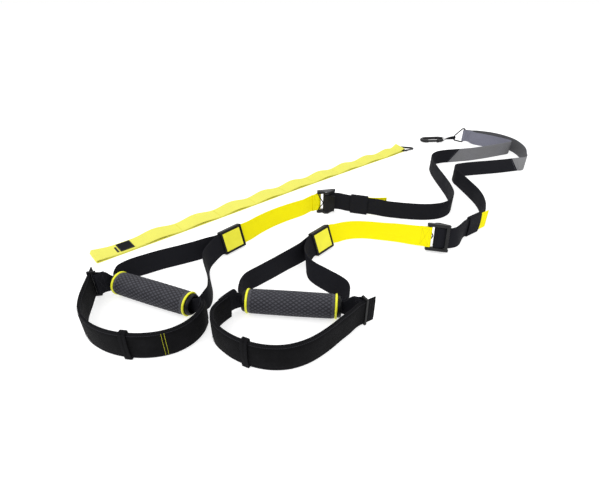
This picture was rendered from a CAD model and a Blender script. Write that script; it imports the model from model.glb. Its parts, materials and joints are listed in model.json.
"""Dresses the suspension trainer: woven webbing, padded foot cradles, knurled grips, buckles and carabiners,
on a plain pale floor under soft light."""
import json
import math
from itertools import permutations

import bmesh
import bpy
from bpy.props import FloatProperty, FloatVectorProperty, IntProperty, PointerProperty
from mathutils import Matrix, Vector


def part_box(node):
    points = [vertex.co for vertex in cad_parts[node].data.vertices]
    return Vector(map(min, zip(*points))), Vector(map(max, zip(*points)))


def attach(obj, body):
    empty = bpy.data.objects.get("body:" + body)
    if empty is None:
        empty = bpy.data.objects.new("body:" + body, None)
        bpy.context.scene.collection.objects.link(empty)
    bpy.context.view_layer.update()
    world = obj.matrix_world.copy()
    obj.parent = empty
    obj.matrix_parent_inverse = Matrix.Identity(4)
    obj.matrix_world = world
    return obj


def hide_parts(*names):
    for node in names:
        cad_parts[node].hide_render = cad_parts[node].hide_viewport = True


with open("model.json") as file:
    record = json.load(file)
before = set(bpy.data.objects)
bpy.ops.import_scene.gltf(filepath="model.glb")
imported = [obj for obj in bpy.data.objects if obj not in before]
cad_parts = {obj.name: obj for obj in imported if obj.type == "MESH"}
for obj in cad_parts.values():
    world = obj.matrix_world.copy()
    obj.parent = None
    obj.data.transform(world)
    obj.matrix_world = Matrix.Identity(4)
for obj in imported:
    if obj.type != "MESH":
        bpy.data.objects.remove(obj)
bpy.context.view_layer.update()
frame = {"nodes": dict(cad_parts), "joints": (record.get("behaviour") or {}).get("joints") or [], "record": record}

bl_info = {
    "name": "Suspension Trainer",
    "version": (1, 0, 0),
    "blender": (4, 5, 0),
    "location": "3D View > Sidebar > Trainer",
    "description": "Dresses a suspension trainer that is laid out on a floor",
    "category": "Add Mesh",
}

JOINTS = {joint["name"]: joint for joint in frame["joints"]}
BODY_OF = {node: body for body, nodes in frame["record"]["behaviour"]["bodies"].items() for node in nodes}
SIDES = ("left", "right")
UP = Vector((0, 0, 1))
TOPWARD = Vector((0.1, 1, 3))
MERGE = 1e-6

# The most that a strap turns from section to section, and the angle below which faces join
TURN_STEP = math.radians(7)
FLAT = math.radians(0.6)

# Angles above which edges stay sharp or get rounded, by kind of piece
CAST_EDGE = math.radians(33)
BEVEL_EDGE = math.radians(38)
SMALL_EDGE = math.radians(40)
ROD_EDGE = math.radians(45)
SOFT_EDGE = math.radians(50)
ROUND_EDGE = math.radians(60)

# Sewn rows and boxes, as distances from a strap's end, and walls of webbing that wraps something
LINK_BOXES = ((0.003, 0.014), (0.025, 0.036))
LINK_ROWS = (0.004, 0.013)
LEG_ROW = 0.004
YELLOW_BOXES = ((0.003, 0.017), (0.030, 0.044))
CROWN_ROWS = (0.004, 0.009)
CROWN_BOX = (0.011, 0.025)
TAB_ROWS = (0.003, 0.012)
SLEEVE_INSET = 0.004
SLEEVE_SECOND = 0.0065
SLEEVE_WALL = 0.0018
KEEPER_WALL = 0.0014
WRAP_SELVEDGE = 0.0018
CRADLE_ROWS = (0.004, 0.009)
CRADLE_START = 0.012
CRADLE_END = 0.004
CRADLE_SHARE = 0.425
MARK_SPREAD = 0.0019
LABEL_INSET = 0.0014

# Name, finish and rounding of the pieces at each end of a grip
GRIP_ENDS = (("ring", "bright ring", 0.0010), ("cap", "black plastic", 0.0011))

# Name, place, size and power of each lamp
LAMPS = (("key", (-1.4, -1.3, 2.2), 1.6, 22), ("fill", (1.6, -2.0, 1.2), 2.2, 10),
         ("back", (0.4, 2.4, 2.0), 2.4, 14))


def colour(name, default):
    return FloatVectorProperty(name=name, description=f"Colour of the {name.lower()}", subtype="COLOR",
                               size=3, default=default, min=0, max=1)


def length(name, default, description):
    return FloatProperty(name=name, description=description, default=default, unit="LENGTH", precision=5)


def fraction(name, default, description):
    return FloatProperty(name=name, description=description, default=default, subtype="FACTOR", min=0)


class TrainerWebbing(bpy.types.PropertyGroup):
    """Webbing and padded bands."""
    yellow: colour("Yellow webbing", (0.83, 0.745, 0.004))
    pale: colour("Pale yellow webbing", (0.76, 0.735, 0.130))
    black: colour("Black webbing", (0.0105, 0.0107, 0.0138))
    grey: colour("Grey webbing", (0.180, 0.182, 0.225))
    grey_back: colour("Back of the grey webbing", (0.185, 0.185, 0.192))
    grey_far: colour("Far back of the grey webbing", (0.100, 0.100, 0.104))
    grey_worn: colour("Worn grey webbing", (0.210, 0.210, 0.214))
    band: colour("Padded band", (0.0032, 0.0032, 0.0038))
    step: length("Section step", 0.004, "Greatest distance between two sections of a strap")
    cord: length("Cord pitch", 0.0012, "Width of one lengthwise cord of the weave")
    pick: length("Pick pitch", 0.0017, "Length of one crossing of the weave")
    selvedge: length("Selvedge", 0.0022, "Width of the firmer edge of the webbing")
    binding: length("Binding", 0.0042, "Width of the tape sewn over the edges of a padded band")
    wave_swell: fraction("Wave swell", 0.55, "Extra height of the anchor strap's waves")
    wave_tilt: fraction("Wave tilt", 1.1, "How much higher a wave's far edge stands")
    bar_gap: length("Bar gap", 0.0185, "Distance from the middle of the anchor label to the bar beside it")
    mark: length("Mark", 0.2450, "Distance along the left cradle to its two bright rows of stitches")
    crown_fold: length("Crown fold", 0.3598, "Distance along the crown to its fold round the ring")
    crown_worn: length("Crown wear", 0.6600, "Distance along the crown from which its outer side is worn")
    tone_blur: length("Tone blur", 0.01, "How far one tone of the crown runs into the next")
    stitch: length("Stitch", 0.0026, "Length of one stitch")
    thread: length("Thread", 0.00028, "Radius of the sewing thread")


class TrainerGrip(bpy.types.PropertyGroup):
    """Grips."""
    rubber: colour("Grip rubber", (0.056, 0.056, 0.068))
    ring: colour("Bright rings", (0.80, 0.80, 0.035))
    plastic: colour("Black plastic", (0.0050, 0.0050, 0.0056))
    diamond: length("Diamond length", 0.0086, "Length of one raised diamond along the grip")
    depth: length("Diamond depth", 0.00075, "Depth of the grooves between the diamonds")
    margin: length("Plain margin", 0.0030, "Plain rubber at each end of the grip")
    around: IntProperty(name="Diamonds around", description="Number of raised diamonds round the grip",
                        default=20, min=8)


class TrainerHardware(bpy.types.PropertyGroup):
    """Plates, buckles, ring and carabiners."""
    face: colour("Plate face", (0.74, 0.70, 0.034))
    metal: colour("Black metal", (0.0080, 0.0080, 0.0086))
    lever: colour("Lever", (0.0060, 0.0060, 0.0064))
    steel: colour("Bare steel", (0.50, 0.50, 0.52))
    plate_corner: length("Plate corner", 0.0028, "Rounding of the plates' corners")
    plate_border: length("Plate border", 0.0022, "Extra dark border on the buckle side of a plate's face")
    edge: length("Edge rounding", 0.00035, "Rounding of the edges of moulded and cast pieces")
    wire_coat: length("Wire coat", 0.0003, "Thickness of the coat on the buckles' spring wire")
    ring_shoulder: length("Ring shoulder", 0.0065, "Straight part of the ring beside its upright bar")
    ring_nose: length("Ring nose", 0.0135, "Height of the ring's nose")
    ring_drop: length("Ring drop", 0.011, "How far the nose sits below the middle of the bar")
    ring_bend: length("Ring bend", 0.003, "Radius of the ring's corners")
    main_bend: fraction("Main bend", 0.25, "Bend of the main carabiner as a share of its width")
    main_tip: fraction("Main tip", 0.38, "Tip of the main carabiner as a share of its width")
    anchor_bend: fraction("Small bend", 0.09, "Bend of the small carabiner as a share of its width")
    anchor_tip: fraction("Small tip", 0.13, "Tip of the small carabiner as a share of its width")


class TrainerStage(bpy.types.PropertyGroup):
    """Floor, light and camera."""
    floor: colour("Floor", (0.62, 0.62, 0.62))
    glow: fraction("Glow", 0.62, "Light that the floor itself gives, which softens shadows")
    floor_size: length("Floor size", 30.0, "Side of the floor")
    camera_height: length("Camera height", 0.415, "Height of the camera above the floor")
    camera_place: FloatVectorProperty(name="Camera place", description="Where the camera stands, from above",
                                      size=2, default=(-0.12846, -0.81923), unit="LENGTH")
    camera_pitch: FloatProperty(name="Camera pitch", description="How far the camera looks down",
                                subtype="ANGLE", default=math.radians(32.31))
    lens: FloatProperty(name="Lens", description="Focal length in millimetres", default=24.0)
    sensor: FloatProperty(name="Sensor", description="Width of the sensor in millimetres", default=36.0)


# Materials
class Graph:
    """The node tree of one material, with short ways to add and join nodes."""

    def __init__(self, name, roughness, metallic=0.0, specular=0.5, **sockets):
        self.material = bpy.data.materials.new(name)
        self.material.use_nodes = True
        self.tree = self.material.node_tree
        self.shader = self.tree.nodes["Principled BSDF"]
        for socket, value in {"Roughness": roughness, "Metallic": metallic, "Specular IOR Level": specular,
                              **sockets}.items():
            self.shader.inputs[socket].default_value = value

    def put(self, socket, value):
        if isinstance(value, bpy.types.NodeSocket):
            self.tree.links.new(value, socket)
        elif hasattr(value, "__len__") and len(value) == 3 and len(socket.default_value) == 4:
            socket.default_value = (*value, 1)
        else:
            socket.default_value = value

    def add(self, kind, inputs=None, output=0, **settings):
        node = self.tree.nodes.new(kind)
        for name, value in settings.items():
            setattr(node, name, value)
        for key, value in (inputs or {}).items():
            self.put(node.inputs[key], value)
        return node.outputs[output]

    def maths(self, operation, *values):
        return self.add("ShaderNodeMath", dict(enumerate(values)), operation=operation)

    def mix(self, factor, one, two, **settings):
        inputs = {"Factor": factor, 6: one, 7: two}
        return self.add("ShaderNodeMix", inputs, output=2, data_type="RGBA", **settings)

    def spread(self, value, low, high, out_low=0.0, out_high=1.0):
        limits = {"From Min": low, "From Max": high, "To Min": out_low, "To Max": out_high}
        return self.add("ShaderNodeMapRange", {"Value": value, **limits}, interpolation_type="SMOOTHSTEP")

    def noise(self, scale, detail=3.0, roughness=0.55, stretch=None):
        vector = self.add("ShaderNodeTexCoord", output=3)
        if stretch:
            vector = self.add("ShaderNodeMapping", {"Vector": vector, "Scale": stretch})
        return self.add("ShaderNodeTexNoise", {"Vector": vector, "Scale": scale, "Detail": detail,
                                               "Roughness": roughness})

    def attribute(self, name):
        return self.add("ShaderNodeAttribute", output=2, attribute_name=name)

    def finish(self, base, height=None, distance=0.0002, strength=0.5, roughness=None):
        self.put(self.shader.inputs["Base Color"], base)
        if roughness is not None:
            self.put(self.shader.inputs["Roughness"], roughness)
        if height is not None:
            bump = self.add("ShaderNodeBump", {"Height": height, "Distance": distance, "Strength": strength})
            self.put(self.shader.inputs["Normal"], bump)
        return self.material


def shade(tone, factor, more=0.0):
    """A tone scaled by a factor, with a little grey added."""
    return tuple(min(1, channel * factor + more) for channel in tone)


def weave_height(graph, cord, pick):
    """Staggered crossings of lengthwise cords, from the strap's own map in metres along and across."""
    cells = graph.add("ShaderNodeSeparateXYZ", {0: graph.add("ShaderNodeUVMap", uv_map="UVMap")})
    along, across = cells.node.outputs[0], cells.node.outputs[1]
    row = graph.maths("DIVIDE", across, cord)
    ridge = graph.maths("ABSOLUTE", graph.maths("SINE", graph.maths("MULTIPLY", row, math.pi)))
    odd = graph.maths("MULTIPLY", graph.maths("FLOORED_MODULO", graph.maths("FLOOR", row), 2.0), 0.5)
    step = graph.maths("ADD", graph.maths("DIVIDE", along, pick), odd)
    bead = graph.maths("ABSOLUTE", graph.maths("SINE", graph.maths("MULTIPLY", step, math.pi)))
    return graph.maths("MULTIPLY", ridge, graph.maths("ADD", graph.maths("MULTIPLY", bead, 0.55), 0.45))


def webbing_material(name, tone, others=None, depth=0.62):
    """Flat woven webbing with a firmer selvedge and a little wear in patches. The crown has other tones for
    its back, its far back and its worn outer end."""
    sizes = bpy.context.scene.trainer_webbing
    graph = Graph(name, 0.78, specular=0.06)
    height = weave_height(graph, sizes.cord, sizes.pick)
    body = tone
    if others:
        back, far, worn_out = others
        along, blur = graph.attribute("along"), sizes.tone_blur
        rear = graph.mix(graph.spread(along, sizes.crown_fold - blur, sizes.crown_fold + blur), back, far)
        outer = graph.spread(along, sizes.crown_worn - blur, sizes.crown_worn + blur)
        front = graph.mix(outer, tone, worn_out)
        body = graph.mix(graph.spread(graph.attribute("side"), -0.2, 0.2), front, rear)
    gap = graph.mix(1.0, body, (depth, depth, depth), blend_type="MULTIPLY")
    woven = graph.mix(graph.spread(height, 0.08, 0.65), gap, body)
    patches = graph.spread(graph.noise(26.0, 4.0), 0.35, 0.7)
    worn = graph.mix(graph.maths("MULTIPLY", patches, 0.10), woven, shade(tone, 1.25, 0.004))
    edge = graph.spread(graph.attribute("edge"), 0.0, sizes.selvedge, 0.82, 1.0)
    final = graph.mix(edge, shade(tone, 0.85, 0.006), worn)
    grain = graph.maths("ADD", height, graph.maths("MULTIPLY", graph.noise(900.0, 2.0), 0.35))
    rough = graph.spread(patches, 0.0, 1.0, 0.72, 0.86)
    return graph.finish(final, grain, distance=0.00022, strength=0.55, roughness=rough)


def band_material(name, tone):
    """Padded band: close-knit face, and smoother binding tape along both edges."""
    sizes = bpy.context.scene.trainer_webbing
    graph = Graph(name, 0.85, specular=0.05, **{"Sheen Weight": 0.02, "Sheen Roughness": 0.45})
    height = weave_height(graph, sizes.cord * 0.7, sizes.pick * 0.6)
    tape = graph.spread(graph.attribute("edge"), sizes.binding * 0.9, sizes.binding)
    face = graph.mix(graph.spread(graph.noise(45.0, 5.0), 0.35, 0.75), tone, shade(tone, 2.0))
    bound = graph.mix(tape, shade(tone, 2.3), face)
    woven = graph.mix(graph.spread(height, 0.05, 0.6), shade(tone, 0.5), bound)
    grain = graph.maths("ADD", height, graph.maths("MULTIPLY", graph.noise(160.0, 4.0), 1.2))
    return graph.finish(woven, grain, distance=0.00030)


def thread_material(name, tone):
    """Twisted sewing thread."""
    graph = Graph(name, 0.6, specular=0.2)
    twist = graph.noise(1500.0, 2.0)
    base = graph.mix(graph.spread(twist, 0.35, 0.65), shade(tone, 0.75), tone)
    return graph.finish(base, twist, distance=0.0001, strength=0.4)


def rubber_material(name, tone):
    """Moulded rubber, dusty in its grooves and lighter on its worn peaks."""
    graph = Graph(name, 0.62, specular=0.22)
    worn = graph.spread(graph.attribute("peak"), 0.35, 1.0)
    dust = graph.spread(graph.noise(60.0, 5.0), 0.40, 0.72)
    base = graph.mix(worn, shade(tone, 0.36), tone)
    base = graph.mix(graph.maths("MULTIPLY", dust, 0.25), base, shade(tone, 1.2))
    rough = graph.spread(worn, 0.0, 1.0, 0.75, 0.50)
    return graph.finish(base, graph.noise(2600.0), distance=0.00008, roughness=rough)


def plastic_material(name, tone, roughness, specular):
    """Moulded plastic with a fine grain and rubbed patches."""
    graph = Graph(name, roughness, specular=specular)
    rub = graph.spread(graph.noise(55.0, 5.0, 0.6), 0.38, 0.70)
    base = graph.mix(graph.maths("MULTIPLY", rub, 0.35), tone, shade(tone, 1.18, 0.003))
    rough = graph.spread(rub, 0.0, 1.0, roughness * 0.85, roughness * 1.25)
    return graph.finish(base, graph.noise(2200.0), distance=0.00006, strength=0.45, roughness=rough)


def metal_material(name, tone, bare, roughness, specular):
    """Black coating over cast metal: satin, slightly uneven, and rubbed thin along edges."""
    graph = Graph(name, roughness, specular=specular)
    ridges = graph.add("ShaderNodeNewGeometry", output=7)
    scuffs = graph.spread(graph.noise(420.0, 4.0, 0.65), 0.50, 0.72)
    worn = graph.maths("MULTIPLY", graph.spread(ridges, 0.54, 0.68), scuffs)
    cloud = graph.spread(graph.noise(70.0, 4.0), 0.35, 0.75)
    base = graph.mix(graph.maths("MULTIPLY", worn, 0.35), graph.mix(cloud, tone, shade(tone, 1.8)), bare)
    rough = graph.spread(cloud, 0.0, 1.0, roughness * 0.8, roughness * 1.3)
    return graph.finish(base, graph.noise(1300.0, 4.0, 0.6), distance=0.00006, strength=0.40, roughness=rough)


def steel_material(name, tone):
    """Bare steel with fine turning lines."""
    graph = Graph(name, 0.3, metallic=1.0)
    lines = graph.noise(900.0, 3.0, 0.6, stretch=(1.0, 1.0, 0.08))
    rough = graph.spread(lines, 0.3, 0.7, 0.22, 0.45)
    return graph.finish(graph.mix(lines, shade(tone, 0.7), tone), lines, distance=0.00003, strength=0.3,
                        roughness=rough)


def finish_named(name):
    """A material by the name of its finish, made once."""
    if name in bpy.data.materials:
        return bpy.data.materials[name]
    scene = bpy.context.scene
    webbing, grip, hardware = scene.trainer_webbing, scene.trainer_grip, scene.trainer_hardware
    steel = hardware.steel
    grey_others = (webbing.grey_back, webbing.grey_far, webbing.grey_worn)
    make, *values = {
        "yellow webbing": (webbing_material, webbing.yellow, None, 0.86),
        "pale yellow webbing": (webbing_material, webbing.pale, None, 0.88),
        "black webbing": (webbing_material, webbing.black),
        "grey webbing": (webbing_material, webbing.grey, grey_others, 0.75),
        "padded band": (band_material, webbing.band),
        "black thread": (thread_material, shade(webbing.black, 2.0)),
        "lime thread": (thread_material, shade(grip.ring, 0.75)),
        "grey thread": (thread_material, shade(webbing.grey, 0.65)),
        "yellow thread": (thread_material, shade(webbing.yellow, 0.80)),
        "grip rubber": (rubber_material, grip.rubber),
        "bright ring": (plastic_material, grip.ring, 0.38, 0.28),
        "black plastic": (plastic_material, grip.plastic, 0.42, 0.17),
        "plate face": (plastic_material, hardware.face, 0.5, 0.3),
        "black metal": (metal_material, hardware.metal, shade(steel, 0.5), 0.38, 0.22),
        "dark metal": (metal_material, hardware.lever, shade(steel, 0.2), 0.5, 0.10),
        "bare steel": (steel_material, steel),
    }[name]
    return make(name, *values)


# Making and finishing pieces
def add_object(name, data):
    """A new object in the scene."""
    made = bpy.data.objects.new(name, data)
    bpy.context.scene.collection.objects.link(made)
    return made


def mesh_from(bm, name, material):
    """A mesh of one material, from a bmesh that isn't needed any more."""
    mesh = bpy.data.meshes.new(name)
    bm.to_mesh(mesh)
    bm.free()
    mesh.materials.append(material)
    return mesh


def finish_piece(bm, name, finish, node, smooth=SMALL_EDGE, rounding=None, stands_in=True):
    """A piece from a bmesh. It rides with its CAD node's body and, if it stands in, replaces the node."""
    bmesh.ops.recalc_face_normals(bm, faces=bm.faces)
    mesh = mesh_from(bm, name, finish_named(finish))
    mesh.shade_smooth()
    mesh.set_sharp_from_angle(angle=smooth)
    piece = add_object(name, mesh)
    if rounding:
        bevel = piece.modifiers.new("edge rounding", "BEVEL")
        bevel.width = rounding
        bevel.segments = 2
        bevel.limit_method = "ANGLE"
        bevel.angle_limit = BEVEL_EDGE
        bevel.harden_normals = True
    if stands_in:
        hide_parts(node)
    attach(piece, BODY_OF[node])
    return piece


def merged_copy(node):
    """A bmesh of a CAD node, with its loose triangles joined."""
    bm = bmesh.new()
    bm.from_mesh(frame["nodes"][node].data)
    for layer in list(bm.loops.layers.uv):
        bm.loops.layers.uv.remove(layer)
    bmesh.ops.remove_doubles(bm, verts=bm.verts, dist=MERGE)
    return bm


def flat_copy(node, swell=0.0):
    """A bmesh of a CAD node with its flat faces joined and, if asked, a thin coat."""
    bm = merged_copy(node)
    bm.normal_update()
    for vert, normal in [(vert, vert.normal.copy()) for vert in bm.verts]:
        vert.co += normal * swell
    bmesh.ops.dissolve_limit(bm, angle_limit=FLAT, verts=bm.verts, edges=bm.edges)
    return bm


def finish_cast(bm, node, finish, rounding=None):
    """Replace a moulded or cast CAD node, its edges rounded."""
    finish_piece(bm, f"{node}_finish", finish, node, CAST_EDGE, rounding)


def refined_copy(node, finish, rounding=None, swell=0.0):
    """Replace a CAD node with its own shape, finished."""
    finish_cast(flat_copy(node, swell), node, finish, rounding)


def middle_of(node):
    """The middle of a CAD node's box."""
    return sum(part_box(node), Vector()) / 2


def local_box(node, matrix):
    """Lowest and highest corner of a CAD node in other axes."""
    inverse = matrix.inverted()
    corners = [inverse @ vertex.co for vertex in frame["nodes"][node].data.vertices]
    low = Vector(min(corner[i] for corner in corners) for i in range(3))
    high = Vector(max(corner[i] for corner in corners) for i in range(3))
    return low, high


def frame_of(origin, x, y, z):
    """A matrix from its origin and its three axes."""
    return Matrix.Translation(origin) @ Matrix((x, y, z)).transposed().to_4x4()


def axes(origin, along, up):
    """A matrix with X along, and Z as near to up as it can be."""
    x = Vector(along).normalized()
    y = Vector(up).cross(x).normalized()
    return frame_of(origin, x, y, x.cross(y))


def bevel_edges(bm, edges, offset, segments):
    """Round some edges of a bmesh."""
    bmesh.ops.bevel(bm, geom=edges, offset=offset, offset_type="OFFSET", affect="EDGES", segments=segments,
                    profile=0.5, material=-1, clamp_overlap=True)


def add_box(bm, size, matrix, rounding):
    """A box with rounded edges, added to a bmesh."""
    made = bmesh.ops.create_cube(bm, size=1, matrix=matrix @ Matrix.Diagonal((*size, 1)))["verts"]
    bevel_edges(bm, list({edge for vert in made for edge in vert.link_edges}), rounding, 2)


def add_disc(bm, radius, depth, matrix, segments):
    """A round disc about Z, added to a bmesh."""
    bmesh.ops.create_cone(bm, cap_ends=True, segments=segments, radius1=radius, radius2=radius, depth=depth,
                          matrix=matrix)


def add_turned(bm, profile, matrix, steps=64):
    """A closed profile of (x, radius) points spun about X, added to a bmesh."""
    points = [bm.verts.new(matrix @ Vector((x, 0, radius))) for x, radius in profile]
    edges = [bm.edges.new((a, b)) for a, b in zip(points, points[1:] + points[:1])]
    bmesh.ops.spin(bm, geom=points + edges, cent=matrix.translation, axis=matrix.to_3x3() @ Vector((1, 0, 0)),
                   angle=2 * math.pi, steps=steps, use_merge=True)


def rounded(profile, radius, segments=3):
    """A closed profile with its corners turned on small arcs."""
    found = []
    count = len(profile)
    for i, corner in enumerate(profile):
        here = Vector(corner)
        back, ahead = Vector(profile[i - 1]) - here, Vector(profile[(i + 1) % count]) - here
        reach = min(radius, back.length * 0.45, ahead.length * 0.45)
        start, end = here + back.normalized() * reach, here + ahead.normalized() * reach
        for k in range(segments + 1):
            t = k / segments
            found.append(start.lerp(here, t).lerp(here.lerp(end, t), t))
    return [tuple(point) for point in found]


# Reading a CAD strap and laying webbing along it
def beyond(front, seen):
    """Vertices one edge away from a set of them, in a steady order."""
    found = {edge.other_vert(vert) for vert in front for edge in vert.link_edges} - seen
    return sorted(found, key=lambda vert: vert.index)


def levels_from(level, seen):
    """Rings of vertices, each one edge beyond the one before."""
    seen, levels = set(seen) | set(level), []
    while level:
        levels.append(level)
        level = beyond(level, seen)
        seen.update(level)
    return levels


def end_ring(bm):
    """Corners of one end of an open strap, in order, or nothing where the strap closes on itself."""
    taken, best = set(), None
    for first in bm.faces:
        if first in taken:
            continue
        group, front = [], [first]
        taken.add(first)
        while front:
            face = front.pop()
            group.append(face)
            near = [other for edge in face.edges for other in edge.link_faces]
            for other in near:
                if other not in taken and other.normal.angle(face.normal) < 0.01:
                    taken.add(other)
                    front.append(other)
        verts = {vert for face in group for vert in face.verts}
        if len(verts) in (4, 8) and all(len(level) == len(verts) for level in levels_from(list(verts), ())):
            score = (abs(first.normal.z) > 0.5, sum(face.calc_area() for face in group))
            if best is None or score < best[0]:
                best = (score, group)
    if best is None:
        return None
    group = best[1]
    rim = [edge for face in group for edge in face.edges
           if sum(other in group for other in edge.link_faces) == 1]
    ring = list(rim[0].verts)
    while len(ring) < len(rim):
        ring.append(next(edge.other_vert(ring[-1]) for edge in rim
                         if ring[-1] in edge.verts and ring[-2] not in edge.verts))
    return ring


def closed_ring(bm):
    """Corners of one section of a strap that closes on itself, in order."""
    def rails(vert):
        return [edge for edge in vert.link_edges if edge.calc_face_angle(0) > 0.5]

    def mates(vert):
        ends = [edge.other_vert(vert).co for edge in rails(vert)]
        along = (ends[0] - ends[1]).normalized()
        flat = [edge.other_vert(vert) for edge in vert.link_edges if edge not in rails(vert)]
        return sorted(flat, key=lambda other: abs((other.co - vert.co).normalized().dot(along)))[:2]

    plain = [vert for vert in bm.verts if len(rails(vert)) == 2]
    start = max(plain, key=lambda vert: min(edge.calc_length() for edge in rails(vert)))
    ring = [start, mates(start)[0]]
    while len(ring) < 4:
        ring.append(next(vert for vert in mates(ring[-1]) if vert is not ring[-2]))
    return ring


def corner_rings(node):
    """Rings of corners of a CAD strap, in order along it, and whether it closes on itself."""
    bm = merged_copy(node)
    bm.verts.index_update()
    bm.normal_update()
    ring = end_ring(bm)
    closed = ring is None
    if closed:
        ring = closed_ring(bm)
        near = beyond(ring, set(ring))
        one = [near[0]]
        for _ in range(3):
            one += [vert for vert in beyond(one, set(ring)) if vert in near and vert not in one]
        two = [vert for vert in near if vert not in one]
        levels = levels_from(sorted(one, key=lambda vert: vert.index), set(ring) | set(two)) + [two]
    else:
        levels = levels_from(ring, ())[1:]
    last = [vert.co.copy() for vert in ring]
    found = [last]
    for level in levels:
        corners = [vert.co.copy() for vert in level]
        shift = (sum(corners, Vector()) - sum(last, Vector())) / len(ring)

        def off(pair):
            return (pair[0] - pair[1] - shift).length_squared

        if len(ring) == 4:
            last = list(min(permutations(corners), key=lambda order: sum(map(off, zip(order, last)))))
        else:
            last = [min(corners, key=lambda corner: off((corner, before))) for before in last]
        found.append(last)
    bm.free()
    return found, closed


class Section:
    """One cross-section of a strap: its middle, full width and full thickness as vectors, and where it is."""

    def __init__(self, point, across, face, distance=0.0):
        self.point, self.across, self.face, self.distance = point, across, face, distance


def steady(found, closed, near):
    """Sections in an order and with sides that follow from the shape alone: an open strap starts at the end
    that is nearer to the middle of another node, and a closed one at its left end, with its outer side out.
    The face looks to the right of the way along, with the strap on edge."""
    if closed:
        first = min(range(len(found)), key=lambda i: found[i].point.x + found[i].point.z / 10)
        found = found[first:] + found[:first]
    elif near:
        middle = middle_of(near)
        if (found[0].point - middle).length > (found[-1].point - middle).length:
            found.reverse()
    if sum((section.across for section in (found if closed else found[:1])), Vector()).dot(TOPWARD) < 0:
        for section in found:
            section.across.negate()
    right = sum((b.point - a.point).cross(a.across).dot(a.face) for a, b in zip(found[:-1], found[1:]))
    if closed:
        middle = sum((section.point for section in found), Vector()) / len(found)
        out = sum((section.point - middle).dot(section.face) for section in found)
        if right * out < 0:
            found.reverse()
        right = out
    if right < 0:
        for section in found:
            section.face.negate()
    return found


def strap_sections(node, near=None):
    """The CAD strap's own sections."""
    rings, closed = corner_rings(node)
    count = len(rings[0])
    wide = max(range(count), key=lambda i: (rings[0][(i + 1) % count] - rings[0][i]).length)
    found = []
    for ring in rings:
        middle = sum(ring, Vector()) / count
        one, two = ring[wide], ring[(wide + 1) % count]
        face = one + two - middle * 2
        across = two - one
        if count > 4:
            across = ring[(wide + 2) % count] + ring[(wide + 3) % count] - middle * 2
        found.append(Section(middle, across, face))
    return steady(found, closed, near), closed


class Run:
    """A smooth strap route, in even sections, that knows its surface."""

    def __init__(self, sections, closed, step):
        self.closed = closed
        knots = sections + sections[:1] if closed else sections
        gaps = [(b.point - a.point).length for a, b in zip(knots, knots[1:])]
        chords = [(b.point - a.point).normalized() for a, b in zip(knots, knots[1:])]
        slopes = [chords[0]]
        for i in range(1, len(chords)):
            slopes.append((chords[i - 1] * gaps[i] + chords[i] * gaps[i - 1]) / (gaps[i - 1] + gaps[i]))
        slopes.append(chords[-1])
        if closed:
            slopes[0] = slopes[-1] = (chords[-1] * gaps[0] + chords[0] * gaps[-1]) / (gaps[0] + gaps[-1])
        self.sections = []
        distance = 0.0
        for i, gap in enumerate(gaps):
            a, b = knots[i], knots[i + 1]
            turn = slopes[i].angle(chords[i]) + chords[i].angle(slopes[i + 1])
            steps = max(1, math.ceil(gap / step), math.ceil(turn / TURN_STEP))
            for k in range(steps + (i == len(gaps) - 1)):
                t = k / steps
                point = (a.point * (2 * t**3 - 3 * t**2 + 1) + slopes[i] * (gap * (t**3 - 2 * t**2 + t))
                         + b.point * (3 * t**2 - 2 * t**3) + slopes[i + 1] * (gap * (t**3 - t**2)))
                face = a.face.lerp(b.face, t).normalized() * (a.face.length * (1 - t) + b.face.length * t)
                if self.sections:
                    distance += (point - self.sections[-1].point).length
                self.sections.append(Section(point, a.across.lerp(b.across, t), face, distance))
        self.length = distance

    def spot(self, distance, across_share, side):
        """A place on the strap's surface: axes with X along the strap, Y across it and Z out of it."""
        i = max([k for k, section in enumerate(self.sections[:-1]) if section.distance <= distance] or [0])
        a, b = self.sections[i], self.sections[i + 1]
        t = (distance - a.distance) / (b.distance - a.distance)
        across, face = a.across.lerp(b.across, t), a.face.lerp(b.face, t)
        along = b.point - a.point + across_share * (b.across - a.across)
        out = face.normalized() * side
        spot = a.point.lerp(b.point, t) + across * across_share + face * (side / 2)
        return axes(spot, along, out)


def quarter_profile(width, thickness, groove):
    """Half of one face of webbing, from the middle of its edge to its centre: (distance in, height)."""
    radius = thickness * 0.46
    arc = [(radius * (1 - math.cos(a)), thickness / 2 - radius + radius * math.sin(a))
           for a in (math.radians(d) for d in (0, 30, 60, 90))]
    return arc + [(groove * 0.8, thickness * 0.44), (groove * 1.25, thickness * 0.49),
                  (width / 2, thickness / 2)]


def band_profile(width, thickness, binding):
    """Half of one face of a padded band: binding tape, the groove of its seam, then the padding."""
    low, turned, flat = thickness * 0.34, 0.0004, 0.0012
    return [(0, low * 0.45), (turned, low * 0.85), (flat, low), (binding * 0.75, low * 1.02),
            (binding, low * 0.92), (binding * 1.5, thickness * 0.44), (binding * 2.4, thickness * 0.50),
            (width / 2, thickness / 2)]


def full_profile(quarter, width):
    """The whole ring of points from one quarter of it: (across, height, distance from the edge)."""
    half = width / 2
    one = [(half - d, h, d) for d, h in quarter]
    two = [(d - half, h, d) for d, h in reversed(quarter[:-1])]
    under = [(x, -h, d) for x, h, d in reversed(two)] + [(x, -h, d) for x, h, d in reversed(one[:-1])]
    return one + two + under


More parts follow.
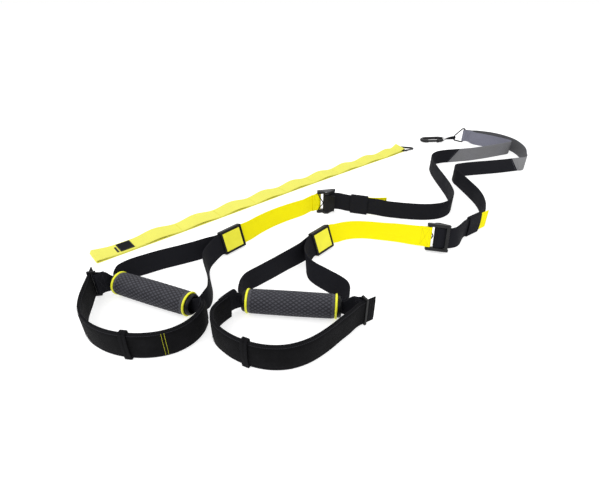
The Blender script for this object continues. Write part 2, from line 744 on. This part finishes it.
def extrude_rings(bm, count, stops, settle):
    """Rings of numbered vertices, extruded from stop to stop, each put in place by settle. Gives the edges of
    the first and the last."""
    slot = bm.verts.layers.int["slot"]
    verts = bmesh.ops.create_circle(bm, cap_ends=False, segments=count, radius=1)["verts"]
    for i, vert in enumerate(verts):
        vert[slot] = i
    settle(verts, stops[0])
    first = edges = list({edge for vert in verts for edge in vert.link_edges})
    for stop in stops[1:]:
        made = bmesh.ops.extrude_edge_only(bm, edges=edges)["geom"]
        settle([part for part in made if isinstance(part, bmesh.types.BMVert)], stop)
        edges = [part for part in made if isinstance(part, bmesh.types.BMEdge)
                 and abs(part.verts[0][slot] - part.verts[1][slot]) in (1, count - 1)]
    return first, edges


def close_ends(bm, closed, ends):
    """Join the last ring to the first, or cap both."""
    if closed:
        bmesh.ops.remove_doubles(bm, verts=bm.verts, dist=MERGE)
        return
    for edges in ends:
        bmesh.ops.contextual_create(bm, geom=edges)


def sweep(run, make_quarter, ripple=None):
    """Webbing along a run, with what its material reads: distance along, side, distance from the edge and a
    map in metres."""
    bm = bmesh.new()
    slot = bm.verts.layers.int.new("slot")
    along = bm.verts.layers.float.new("along")
    side = bm.verts.layers.float.new("side")
    edge = bm.verts.layers.float.new("edge")
    uv = bm.loops.layers.uv.new("UVMap")
    stiff_edge = 0.006

    def ring_of(width, thickness):
        return full_profile(make_quarter(width, thickness), width)

    def settle(verts, section):
        width, thickness = section.across.length, section.face.length
        profile = ring_of(width, thickness)
        lift = ripple(section.distance) if ripple else 0.0
        for vert in verts:
            x, height, inwards = profile[vert[slot]]
            height *= 1 + lift * min(1.0, inwards / stiff_edge)
            vert.co = section.point + section.across * (x / width) + section.face * (height / thickness)
            vert[along] = section.distance
            vert[side] = 1.0 if height > 0 else -1.0
            vert[edge] = inwards

    profile = ring_of(run.sections[0].across.length, run.sections[0].face.length)
    count = len(profile)
    ends = extrude_rings(bm, count, run.sections, settle)
    around = [0.0]
    for one, two in zip(profile, profile[1:] + profile[:1]):
        around.append(around[-1] + math.hypot(two[0] - one[0], two[1] - one[1]))
    for face in bm.faces:
        wraps = {loop.vert[slot] for loop in face.loops} == {0, count - 1}
        for loop in face.loops:
            place = loop.vert[slot]
            loop[uv].uv = (loop.vert[along], around[count if wraps and place == 0 else place])
    close_ends(bm, run.closed, ends)
    return bm


def rod(points, radius, normal, sides=20, closed=False):
    """A round rod along points that lie in one plane."""
    bm = bmesh.new()
    slot = bm.verts.layers.int.new("slot")
    count = len(points)

    def settle(verts, i):
        before = points[i - 1] if closed or i else points[i]
        after = points[(i + 1) % count] if closed or i < count - 1 else points[i]
        out = (after - before).cross(normal).normalized()
        for vert in verts:
            angle = 2 * math.pi * vert[slot] / sides
            vert.co = points[i] + radius * (math.cos(angle) * out + math.sin(angle) * normal)

    stops = list(range(count)) + ([0] if closed else [])
    close_ends(bm, closed, extrude_rings(bm, sides, stops, settle))
    return bm


def weave(run, node, finish, selvedge):
    """Replace a CAD node with webbing along a run. The selvedge takes up to 12% of its width."""
    def quarter(width, thickness):
        return quarter_profile(width, thickness, min(selvedge, width * 0.12))

    finish_piece(sweep(run, quarter), f"{node}_webbing", finish, node, SOFT_EDGE)


def read_run(node, near=None):
    """The route of a CAD strap, from the end that is nearer to another node."""
    sections, closed = strap_sections(node, near)
    return Run(sections, closed, bpy.context.scene.trainer_webbing.step)


def lay_webbing(node, finish, near=None):
    """Replace a CAD strap with woven webbing on the same route."""
    run = read_run(node, near)
    weave(run, node, finish, bpy.context.scene.trainer_webbing.selvedge)
    return run


def wrap_webbing(node, place, wall, finish="black webbing"):
    """Replace a CAD node with a closed turn of webbing, its width along the place's X axis."""
    low, high = local_box(node, place)
    y, z = high.y - wall / 2, high.z - wall / 2
    middle = (low + high) / 2
    loop = rounded([(-y, -z), (y, -z), (y, z), (-y, z)], wall * 0.9, 4)
    turn = place.to_3x3()
    across = turn @ Vector((high.x - low.x, 0, 0))
    sections = []
    for i, (u, v) in enumerate(loop):
        ahead = Vector(loop[(i + 1) % len(loop)]) - Vector(loop[i - 1])
        face = turn @ Vector((0, ahead.y, -ahead.x)).normalized() * wall
        sections.append(Section(place @ Vector((middle.x, u, v)), across, face))
    weave(Run(sections, True, bpy.context.scene.trainer_webbing.step), node, finish, WRAP_SELVEDGE)


# Stitches
def sew(name, places, finish, node, stitch=None, radius=None):
    """Small raised stitches. A place has X along the stitch and Z out of the webbing."""
    sizes = bpy.context.scene.trainer_webbing
    half, thick = (stitch or sizes.stitch) * 0.46, radius or sizes.thread
    bm = bmesh.new()
    number = bm.verts.layers.int.new("number")
    turn = Matrix.Rotation(math.pi / 2, 4, "Y")
    bmesh.ops.create_uvsphere(bm, u_segments=6, v_segments=5, radius=1, matrix=turn)
    made = 1
    while made < len(places):
        copied = [face for face in bm.faces if face.verts[0][number] < len(places) - made]
        for part in bmesh.ops.duplicate(bm, geom=copied)["geom"]:
            if isinstance(part, bmesh.types.BMVert):
                part[number] += made
        made = min(made * 2, len(places))
    shape = Matrix.Translation((0, 0, thick * 0.2)) @ Matrix.Diagonal((half, thick, thick, 1))
    shapes = [place @ shape for place in places]
    for vert in bm.verts:
        vert.co = shapes[vert[number]] @ vert.co
    finish_piece(bm, name, finish, node, stands_in=False)


def evenly(low, high, count):
    """The middles of a number of even parts between two values."""
    return [low + (high - low) * (k + 0.5) / count for k in range(count)]


def stitches_in(span):
    """How many stitches go into a length."""
    return round(span / bpy.context.scene.trainer_webbing.stitch)


def row_across(run, distance, side, reach=0.44):
    """Places of a row of stitches across a strap."""
    ends = [run.spot(distance, share, side).translation for share in (reach, -reach)]
    turn = Matrix.Rotation(math.pi / 2, 4, "Z")
    count = max(2, stitches_in((ends[0] - ends[1]).length))
    return [run.spot(distance, share, side) @ turn for share in evenly(-reach, reach, count)]


def row_along(run, start, end, share, side):
    """Places of a row of stitches along a strap."""
    count = max(1, stitches_in(end - start))
    return [run.spot(distance, share, side) for distance in evenly(start, end, count)]


def rows_on_both(run, distances):
    """Rows of stitches across both faces of a strap."""
    return [place for side in (1, -1) for distance in distances for place in row_across(run, distance, side)]


def box_of_stitches(run, start, end, side, reach=0.40):
    """A sewn box with a cross in it."""
    places = row_across(run, start, side, reach) + row_across(run, end, side, reach)
    places += row_along(run, start, end, -reach, side) + row_along(run, start, end, reach, side)
    corners = [(start, -reach), (end, reach), (start, reach), (end, -reach)]
    for one, two in (corners[:2], corners[2:]):
        way = run.spot(*two, side).translation - run.spot(*one, side).translation
        for t in evenly(0, 1, max(2, stitches_in(way.length))):
            spot = run.spot(one[0] + (two[0] - one[0]) * t, one[1] + (two[1] - one[1]) * t, side)
            places.append(axes(spot.translation, way, spot.to_3x3() @ UP))
    return places


def boxes_of_stitches(run, spans, side):
    """Sewn boxes at some stretches of a strap."""
    return [place for start, end in spans for place in box_of_stitches(run, start, end, side)]


def bar_tack(run, distance, count=12, reach=0.36):
    """A dense zigzag across the upper side of a strap."""
    tilt = math.radians(18)
    return [run.spot(distance, share, 1) @ Matrix.Rotation(tilt if k % 2 else -tilt, 4, "Z")
            for k, share in enumerate(evenly(-reach, reach, count))]


# Pieces
class PieceOperator:
    """One step of the making, which is run by its make function."""
    bl_options = {"REGISTER", "UNDO"}

    def execute(self, context):
        self.make(context.scene)
        return {"FINISHED"}


class TRAINER_OT_handle_straps(PieceOperator, bpy.types.Operator):
    """Handle straps and the links that tie the cradles to the grips"""
    bl_idname = "trainer.handle_straps"
    bl_label = "Handle straps"

    def make(self, scene):
        for side in SIDES:
            lay_webbing(f"{side}_handle_strap", "black webbing", f"{side}_plate_face")
            node = f"{side}_link_strap"
            run = lay_webbing(node, "black webbing", f"{side}_cradle_glide")
            places = boxes_of_stitches(run, LINK_BOXES, 1)
            places += rows_on_both(run, [run.length - inwards for inwards in LINK_ROWS])
            sew(f"{node}_stitches", places, "black thread", node)


class TRAINER_OT_legs(PieceOperator, bpy.types.Operator):
    """Legs, their return runs and the yellow straps with their sewn tails"""
    bl_idname = "trainer.legs"
    bl_label = "Legs and yellow straps"

    def make(self, scene):
        for side, out in zip(SIDES, (1, -1)):
            buckle = f"{side}_buckle_frame"
            node = f"{side}_leg_strap"
            run = lay_webbing(node, "black webbing", buckle)
            lay_webbing(f"{side}_return_run", "black webbing", buckle)
            sew(f"{node}_stitches", rows_on_both(run, [run.length - LEG_ROW]), "grey thread", node)
            node = f"{side}_yellow_strap"
            run = lay_webbing(node, "yellow webbing", buckle)
            sew(f"{node}_stitches", boxes_of_stitches(run, YELLOW_BOXES, out), "yellow thread", node)


class TRAINER_OT_crown(PieceOperator, bpy.types.Operator):
    """Grey crown, folded round the ring"""
    bl_idname = "trainer.crown"
    bl_label = "Crown"

    def make(self, scene):
        run = lay_webbing("crown_strap", "grey webbing", "left_leg_strap")
        fold = scene.trainer_webbing.crown_fold
        places = rows_on_both(run, [place for row in CROWN_ROWS for place in (row, run.length - row)])
        places += boxes_of_stitches(run, [[fold + way * end for end in CROWN_BOX] for way in (-1, 1)], -1)
        sew("crown_strap_stitches", places, "grey thread", "crown_strap")


class TRAINER_OT_sleeves(PieceOperator, bpy.types.Operator):
    """Adjuster sleeves round the doubled legs, with their pull tabs"""
    bl_idname = "trainer.sleeves"
    bl_label = "Sleeves and tabs"

    def make(self, scene):
        for side in SIDES:
            node = f"{side}_adjuster_sleeve"
            place = axes(middle_of(node), JOINTS[f"{side}_sleeve_slide"]["axis"], UP)
            wrap_webbing(node, place, SLEEVE_WALL)
            tab = f"{side}_pull_tab"
            hem = rows_on_both(lay_webbing(tab, "yellow webbing", "crown_strap"), TAB_ROWS)
            sew(f"{tab}_stitches", hem, "yellow thread", tab)
            low, high = local_box(node, place)
            rows = (low.x + SLEEVE_INSET, high.x - SLEEVE_INSET, high.x - SLEEVE_SECOND)
            heights = evenly(low.z + SLEEVE_INSET, high.z - SLEEVE_INSET, 12)
            places = [axes(place @ Vector((x, out * high.y, z)), UP, place.to_3x3() @ Vector((0, out, 0)))
                      for out in (1, -1) for x in rows for z in heights]
            sew(f"{side}_sleeve_stitches", places, "black thread", node)


class TRAINER_OT_cradles(PieceOperator, bpy.types.Operator):
    """Padded foot cradles with their keepers and glides"""
    bl_idname = "trainer.cradles"
    bl_label = "Foot cradles"

    def make(self, scene):
        sizes = scene.trainer_webbing

        def quarter(width, thickness):
            return band_profile(width, thickness, sizes.binding)

        def ripple(distance):
            return 0.05 * math.sin(distance * 190) * math.sin(distance * 61 + 0.8)

        for side in SIDES:
            node = f"{side}_foot_cradle"
            run = read_run(node, f"{side}_cradle_glide")
            bm = sweep(run, quarter, ripple)
            band = finish_piece(bm, f"{side}_cradle_band", "padded band", node, SOFT_EDGE)
            places = []
            for face in (1, -1):
                for distance in CRADLE_ROWS:
                    places += row_across(run, distance, face)
                for share in (-CRADLE_SHARE, CRADLE_SHARE):
                    places += row_along(run, CRADLE_START, run.length - CRADLE_END, share, face)
            sew(f"{side}_cradle_stitches", places, "black thread", node)
            if side == "left":
                rows = (sizes.mark - MARK_SPREAD, sizes.mark + MARK_SPREAD)
                places = [place for row in rows for place in row_across(run, row, 1)]
                sew("left_cradle_mark", places, "lime thread", node)
            keeper = f"{side}_keeper_loop"
            middle = middle_of(keeper)
            steps = list(zip(run.sections, run.sections[1:]))
            here, ahead = min(steps, key=lambda step: (step[0].point - middle).length)
            wrap_webbing(keeper, axes(middle, ahead.point - here.point, UP), KEEPER_WALL, "padded band")
            refined_copy(f"{side}_cradle_glide", "black plastic", scene.trainer_hardware.edge)


class TRAINER_OT_grips(PieceOperator, bpy.types.Operator):
    """Knurled grips with bright rings and end plugs"""
    bl_idname = "trainer.grips"
    bl_label = "Grips"

    def make(self, scene):
        for side in SIDES:
            joint = JOINTS[f"{side}_grip_spin"]
            place = axes(joint["pos_m"], joint["axis"], UP)
            self.make_rubber(side, place, scene.trainer_grip)
            for end in ("outer", "inner"):
                for part, finish, rounding in GRIP_ENDS:
                    node = f"{side}_grip_{end}_{part}"
                    bm = bmesh.new()
                    add_turned(bm, rounded(self.profile_of(node, place), rounding), place)
                    finish_piece(bm, f"{node}_finish", finish, node, SOFT_EDGE)
            tube = frame["nodes"][f"{side}_grip_tube"]
            tube.data.materials.clear()
            tube.data.materials.append(finish_named("black plastic"))

    def profile_of(self, node, place):
        """The closed (x, radius) outline of a turned CAD piece, read at one of its steps."""
        bm = merged_copy(node)
        bmesh.ops.transform(bm, matrix=place.inverted(), verts=bm.verts)
        angles = {vert: math.atan2(vert.co.y, vert.co.z) for vert in bm.verts}
        first = min(angles.values(), key=abs)
        ring = {vert for vert, angle in angles.items() if abs(angle - first) < 0.01}
        order = [min(ring, key=lambda vert: (round(vert.co.x, 5), vert.co.z))]
        while len(order) < len(ring):
            options = [edge.other_vert(order[-1]) for edge in order[-1].link_edges]
            options = [vert for vert in options if vert in ring and vert not in order]
            if not options:
                break
            order.append(options[0])
        profile = [(vert.co.x, math.hypot(vert.co.y, vert.co.z)) for vert in order]
        bm.free()
        return profile

    def make_rubber(self, side, place, sizes):
        """Rubber with raised diamonds, fading out before each end."""
        node = f"{side}_grip_rubber"
        outline = self.profile_of(node, place)
        inner = min(radius for _, radius in outline)
        skin = sorted(point for point in outline if point[1] > inner + MERGE * 100)
        end = skin[-1][0]
        steps_along, steps_around = 8, 6
        columns = round(end * 2 / sizes.diamond * steps_along)
        skin_depth, worn_edge, worn_depth = 0.0008, 0.0006, 0.0003

        def skin_radius(x):
            for (x0, r0), (x1, r1) in zip(skin, skin[1:]):
                if x <= x1 + MERGE:
                    return r0 + (r1 - r0) * (x - x0) / (x1 - x0)
            return skin[-1][1]

        xs = [-end + end * 2 * k / columns for k in range(columns + 1)]
        profile = [(-end, inner)] + [(x, skin_radius(x)) for x in xs] + [(end, inner)]
        bm = bmesh.new()
        peak = bm.verts.layers.float.new("peak")
        add_turned(bm, profile, place, sizes.around * steps_around)
        inverse = place.inverted()
        for vert in bm.verts:
            x, y, z = inverse @ vert.co
            radius = math.hypot(y, z)
            if radius < inner + skin_depth:
                continue
            u, w = x / sizes.diamond, math.atan2(y, z) * sizes.around / (2 * math.pi)
            tent = min(1 - abs(2 * ((u + way * w) % 1) - 1) for way in (1, -1))
            raised = min(1.0, tent * 1.9)
            raised = raised * raised * (3 - 2 * raised)
            fade = min(1.0, max(0.0, (end - abs(x) - sizes.margin) / (sizes.margin * 0.6)))
            sunk = sizes.depth * (1 - raised) * fade
            edge = min(1.0, (end - abs(x)) / worn_edge)
            share = (radius - sunk - worn_depth * (1 - edge)) / radius
            vert.co = place @ Vector((x, y * share, z * share))
            vert[peak] = 1 - (1 - raised) * fade
        finish_piece(bm, f"{node}_knurled", "grip rubber", node, ROUND_EDGE)


class TRAINER_OT_plates(PieceOperator, bpy.types.Operator):
    """Moulded plates with bare bright faces"""
    bl_idname = "trainer.plates"
    bl_label = "Plates"

    def make(self, scene):
        sizes = scene.trainer_hardware
        for side in SIDES:
            node = f"{side}_plate_face"
            bm = flat_copy(node)
            front = max(bm.faces, key=lambda face: (round(face.calc_area(), 7), -face.normal.y))
            normal = front.normal.copy()
            longest = max(front.edges, key=lambda edge: edge.calc_length())
            along = (longest.verts[1].co - longest.verts[0].co).normalized()
            if along.x < 0:
                along.negate()
            place = frame_of(front.calc_center_median(), along, normal.cross(along), normal)
            self.narrow(bm, place, local_box(node, place)[1].y, sizes.plate_border)
            bevel_edges(bm, self.upright_edges(bm, place, Vector()), sizes.plate_corner / 3, 4)
            finish_cast(bm, node, "plate face", sizes.edge / 2)

            node = f"{side}_plate_frame"
            bm = flat_copy(node)
            low, high = local_box(node, place)
            centre = place @ Matrix.Translation((low + high) / 2)
            bevel_edges(bm, self.upright_edges(bm, centre, (high - low) * 0.45), sizes.plate_corner, 5)
            finish_cast(bm, node, "black plastic", sizes.edge)

    def narrow(self, bm, place, half, border):
        """Draw a plate's face in from the buckle's side, and a little from above and below."""
        inverse = place.inverted()
        for vert in bm.verts:
            spot = inverse @ vert.co
            if spot.x > 0:
                spot.x -= border
            spot.y *= 1 - border * 0.5 / half
            vert.co = place @ spot

    def upright_edges(self, bm, place, least):
        """Edges across a plate's thickness that lie at least so far out, along it and up it."""
        inverse = place.inverted()
        found = []
        for edge in bm.edges:
            one, two = (inverse @ vert.co for vert in edge.verts)
            outer = all(abs(end.x) >= least.x and abs(end.y) >= least.y for end in (one, two))
            if outer and abs((two - one).normalized().z) > 0.99:
                found.append(edge)
        return found


class TRAINER_OT_buckles(PieceOperator, bpy.types.Operator):
    """Cam buckles: casting, thumb lever, pin and spring"""
    bl_idname = "trainer.buckles"
    bl_label = "Buckles"

    def make(self, scene):
        edge = scene.trainer_hardware.edge
        for side in SIDES:
            refined_copy(f"{side}_buckle_frame", "black metal")
            refined_copy(f"{side}_cam_lever", "dark metal")
            refined_copy(f"{side}_cam_pin", "bare steel", edge / 2)
            refined_copy(f"{side}_cam_spring", "dark metal", swell=scene.trainer_hardware.wire_coat)
            self.rib_lever(side)

    def rib_lever(self, side):
        """Raised ribs on the thumb side of the lever."""
        joint = JOINTS[f"{side}_cam_press"]
        pivot, pin = Vector(joint["pos_m"]), Vector(joint["axis"]).normalized()
        node = f"{side}_cam_lever"
        verts = [vertex.co for vertex in frame["nodes"][node].data.vertices]
        arms = [(co - pivot) - pin * (co - pivot).dot(pin) for co in verts]
        along = max(arms, key=lambda arm: arm.length).normalized()
        place = frame_of(pivot, along, pin.cross(along), pin)
        low, high = local_box(node, place)
        inverse = place.inverted()
        thumb = [spot.y for spot in (inverse @ co for co in verts) if spot.x > high.x * 0.6]
        casting = inverse @ middle_of(f"{side}_buckle_frame")
        level = max(thumb) if casting.y < 0 else min(thumb)
        rib = (0.0009, 0.0008, (high.z - low.z) * 0.86)
        bm = bmesh.new()
        for share in (0.62, 0.72, 0.82, 0.92):
            add_box(bm, rib, place @ Matrix.Translation((high.x * share, level * 0.97, 0)), 0.0002)
        finish_piece(bm, f"{side}_lever_ribs", "dark metal", node, stands_in=False)


class TRAINER_OT_ring(PieceOperator, bpy.types.Operator):
    """Ring in the crown's fold and the webbing loop on its nose"""
    bl_idname = "trainer.ring"
    bl_label = "Ring and loop"

    def make(self, scene):
        sizes = scene.trainer_hardware
        axis = Vector(JOINTS["ring_swing"]["pos_m"])
        out = middle_of("delta_ring") - axis
        place = axes(axis, (out.x, out.y, 0), UP)
        low, high = local_box("delta_ring", place)
        radius = (high.y - low.y) / 2
        half, nose = (high.z - low.z) / 2 - radius, high.x - radius
        middle = -sizes.ring_drop
        corners = [(0, -half), (sizes.ring_shoulder, -half), (nose, middle - sizes.ring_nose / 2),
                   (nose, middle + sizes.ring_nose / 2), (sizes.ring_shoulder, half), (0, half)]
        line = rounded(corners, sizes.ring_bend, 8)
        points = [place @ Vector((u, 0, w)) for u, w in line]
        bm = rod(points, radius, place.to_3x3() @ Vector((0, 1, 0)), closed=True)
        finish_piece(bm, "delta_ring_rod", "dark metal", "delta_ring", ROUND_EDGE)
        lay_webbing("locking_loop", "black webbing")


class TRAINER_OT_carabiners(PieceOperator, bpy.types.Operator):
    """Both carabiners: bent bodies, sprung gates and pins"""
    bl_idname = "trainer.carabiners"
    bl_label = "Carabiners"

    def make(self, scene):
        sizes = scene.trainer_hardware
        self.make_one("main", sizes.main_bend, sizes.main_tip)
        self.make_one("anchor", sizes.anchor_bend, sizes.anchor_tip)

    def make_one(self, prefix, bend_share, tip_share):
        lift, gate = JOINTS[f"{prefix}_carabiner_lift"], JOINTS[f"{prefix}_gate_open"]
        origin, hinge = Vector(lift["pos_m"]), Vector(gate["pos_m"])
        y = Vector(lift["axis"]).normalized()
        if (hinge - origin).dot(y) < 0:
            y = -y
        x = ((hinge - origin) - y * (hinge - origin).dot(y)).normalized()
        z = x.cross(y)
        place = frame_of(origin, x, y, z)
        node = f"{prefix}_carabiner_body"
        low, high = local_box(node, place)
        radius = (high.z - low.z) / 2
        long, wide = high.x - low.x, high.y - low.y
        half, bend, tip = wide / 2 - radius, wide * bend_share, wide * tip_share
        root, nose = bend * 1.3, long - radius * 2 - tip
        mouth = nose - radius * 0.6
        arc_step, clearance = math.radians(9), 0.0003

        def arc(cx, cy, r, start, end):
            steps = max(3, math.ceil(abs(end - start) / arc_step))
            angles = [start + (end - start) * k / steps for k in range(steps + 1)]
            return [(cx + r * math.cos(a), cy + r * math.sin(a)) for a in angles]

        run, rise = nose - bend, half * 2 - tip - bend
        slant = math.atan2(rise, run) - math.asin((tip - bend) / math.hypot(rise, run))
        line = [(root, half)] + arc(bend, half - bend, bend, math.pi / 2, math.pi)
        line += arc(bend, bend - half, bend, math.pi, math.pi * 1.5 + slant)
        line += arc(nose, half - tip, tip, slant - math.pi / 2, math.pi / 2) + [(mouth, half)]
        bm = rod([place @ Vector((u, v, 0)) for u, v in line], radius, z, 24)
        pin_x = (place.inverted() @ hinge).x
        cheek, knuckle = radius * 0.34, radius * 0.72
        for level in (radius - cheek / 2, cheek / 2 - radius):
            middle = place @ Matrix.Translation(((pin_x + root) / 2, half, level))
            add_box(bm, (pin_x - root, knuckle * 2, cheek), middle, cheek * 0.25)
            add_disc(bm, knuckle, cheek, place @ Matrix.Translation((pin_x, half, level)), 28)
        finish_piece(bm, f"{prefix}_carabiner_rod", "black metal", node, ROD_EDGE)

        node = f"{prefix}_gate"
        hinge_place = place @ Matrix.Translation((pin_x, half, 0))
        thick, width = (radius * 0.66 - clearance) * 2, radius * 0.8
        start, reach, core, overlap = knuckle + clearance * 2, mouth - pin_x - clearance, 0.00001, 0.002
        bar = rounded([(start, core), (start, width), (reach, width), (reach, core)], width * 0.3)
        bm = bmesh.new()
        add_turned(bm, bar, hinge_place, 28)
        neck = start + overlap
        middle = hinge_place @ Matrix.Translation((neck / 2, 0, 0))
        add_box(bm, (neck, knuckle * 1.6, thick), middle, thick * 0.1)
        add_disc(bm, knuckle * 0.9, thick, hinge_place, 24)
        finish_piece(bm, f"{node}_bar", "black metal", node, ROD_EDGE)
        refined_copy(f"{prefix}_gate_pin", "bare steel", radius * 0.06)


class TRAINER_OT_anchor(PieceOperator, bpy.types.Operator):
    """Anchor strap with its sewn waves and bare label"""
    bl_idname = "trainer.anchor"
    bl_label = "Anchor strap"

    def make(self, scene):
        sizes = scene.trainer_webbing
        node = "anchor_strap"
        run = read_run(node)
        for section in run.sections:
            section.point.z = max(section.point.z, section.face.length / 2)
        upper = [section for section in run.sections if section.face.normalized().z > 0.93]
        valley = min(section.point.z for section in upper)
        crest = max(section.point.z for section in upper)
        for section in upper:
            rise = section.point.z - valley
            section.point.z += rise * sizes.wave_swell
            section.across.z += math.copysign(rise * sizes.wave_tilt, section.across.y)
        weave(run, node, "pale yellow webbing", sizes.selvedge)
        low = valley + (crest - valley) * 0.2
        tacks = []
        for before, here, after in zip(upper, upper[1:], upper[2:]):
            if here.point.z < low and before.point.z >= here.point.z < after.point.z:
                tacks += bar_tack(run, here.distance)
        sew("anchor_strap_tacks", tacks, "yellow thread", node)
        self.make_label(run, upper, sizes)

    def make_label(self, run, upper, sizes):
        """Bare label, the stitches round it and the thick bar beside it."""
        node = "anchor_label"
        middle = middle_of(node)
        near = min(upper, key=lambda section: (section.point - middle).length)
        far = math.copysign(1, near.across.y)
        shares = [far * (0.16 - 0.50 * k / 25) for k in range(26)]
        bar = [run.spot(near.distance - sizes.bar_gap, share, 1) for share in shares]
        sew("anchor_label_bar", bar, "black thread", node, 0.0042, 0.0010)
        refined_copy(node, "black webbing")
        place = axes(middle, run.spot(near.distance, 0, 1).to_3x3() @ Vector((1, 0, 0)), UP)
        high = local_box(node, place)[1]
        x, y = high.x - LABEL_INSET, high.y - LABEL_INSET
        corners = [Vector((*corner, high.z)) for corner in ((-x, -y), (x, -y), (x, y), (-x, y))]
        places = []
        for a, b in zip(corners, corners[1:] + corners[:1]):
            for t in evenly(0, 1, stitches_in((b - a).length)):
                places.append(axes(place @ a.lerp(b, t), place.to_3x3() @ (b - a), UP))
        sew("anchor_label_stitches", places, "grey thread", node)


class TRAINER_OT_stage(PieceOperator, bpy.types.Operator):
    """Pale floor, soft light and the camera"""
    bl_idname = "trainer.stage"
    bl_label = "Stage"

    def make(self, scene):
        sizes = scene.trainer_stage
        bm = bmesh.new()
        bmesh.ops.create_grid(bm, x_segments=1, y_segments=1, size=sizes.floor_size / 2)
        glow = {"Emission Color": (1, 1, 1, 1), "Emission Strength": sizes.glow}
        pale = Graph("pale floor", 0.9, specular=0.1, **glow).finish(tuple(sizes.floor))
        floor = add_object("floor", mesh_from(bm, "floor", pale))

        world = bpy.data.worlds.new("studio")
        world.use_nodes = True
        background = world.node_tree.nodes["Background"]
        background.inputs["Color"].default_value = (1, 1, 1, 1)
        background.inputs["Strength"].default_value = 1.0
        scene.world = world
        for name, place, size, power in LAMPS:
            light = bpy.data.lights.new(name, "AREA")
            light.size = size
            light.energy = power
            lamp = add_object(name, light)
            lamp.location = place
            lamp.rotation_euler = (-Vector(place)).to_track_quat("-Z", "Y").to_euler()

        camera = bpy.data.cameras.new("camera")
        camera.sensor_width = sizes.sensor
        camera.lens = sizes.lens
        camera.clip_start = 0.01
        eye = add_object("camera", camera)
        eye.location = (*sizes.camera_place, sizes.camera_height)
        eye.rotation_euler = (math.pi / 2 - sizes.camera_pitch, 0, 0)
        scene.camera = eye
        scene.view_settings.view_transform = "Standard"


STEPS = (TRAINER_OT_handle_straps, TRAINER_OT_legs, TRAINER_OT_crown, TRAINER_OT_sleeves, TRAINER_OT_cradles,
         TRAINER_OT_grips, TRAINER_OT_plates, TRAINER_OT_buckles, TRAINER_OT_ring, TRAINER_OT_carabiners,
         TRAINER_OT_anchor, TRAINER_OT_stage)
GROUPS = {"trainer_webbing": TrainerWebbing, "trainer_grip": TrainerGrip, "trainer_hardware": TrainerHardware,
          "trainer_stage": TrainerStage}


class TRAINER_PT_panel(bpy.types.Panel):
    """Sizes, colours and the steps that make the trainer"""
    bl_idname = "TRAINER_PT_panel"
    bl_label = "Suspension Trainer"
    bl_space_type = "VIEW_3D"
    bl_region_type = "UI"
    bl_category = "Trainer"

    def draw(self, context):
        for name, group in GROUPS.items():
            box = self.layout.box()
            box.label(text=group.__doc__)
            for size in group.__annotations__:
                box.prop(getattr(context.scene, name), size)
        for step in STEPS:
            self.layout.operator(step.bl_idname)


def register():
    for cls in (*GROUPS.values(), *STEPS, TRAINER_PT_panel):
        bpy.utils.register_class(cls)
    for name, group in GROUPS.items():
        setattr(bpy.types.Scene, name, PointerProperty(type=group))


def unregister():
    for name in GROUPS:
        delattr(bpy.types.Scene, name)
    for cls in (TRAINER_PT_panel, *reversed(STEPS), *reversed(GROUPS.values())):
        bpy.utils.unregister_class(cls)


def main():
    register()
    for step in STEPS:
        group, name = step.bl_idname.split(".")
        getattr(getattr(bpy.ops, group), name)()


if __name__ == "__main__":
    main()
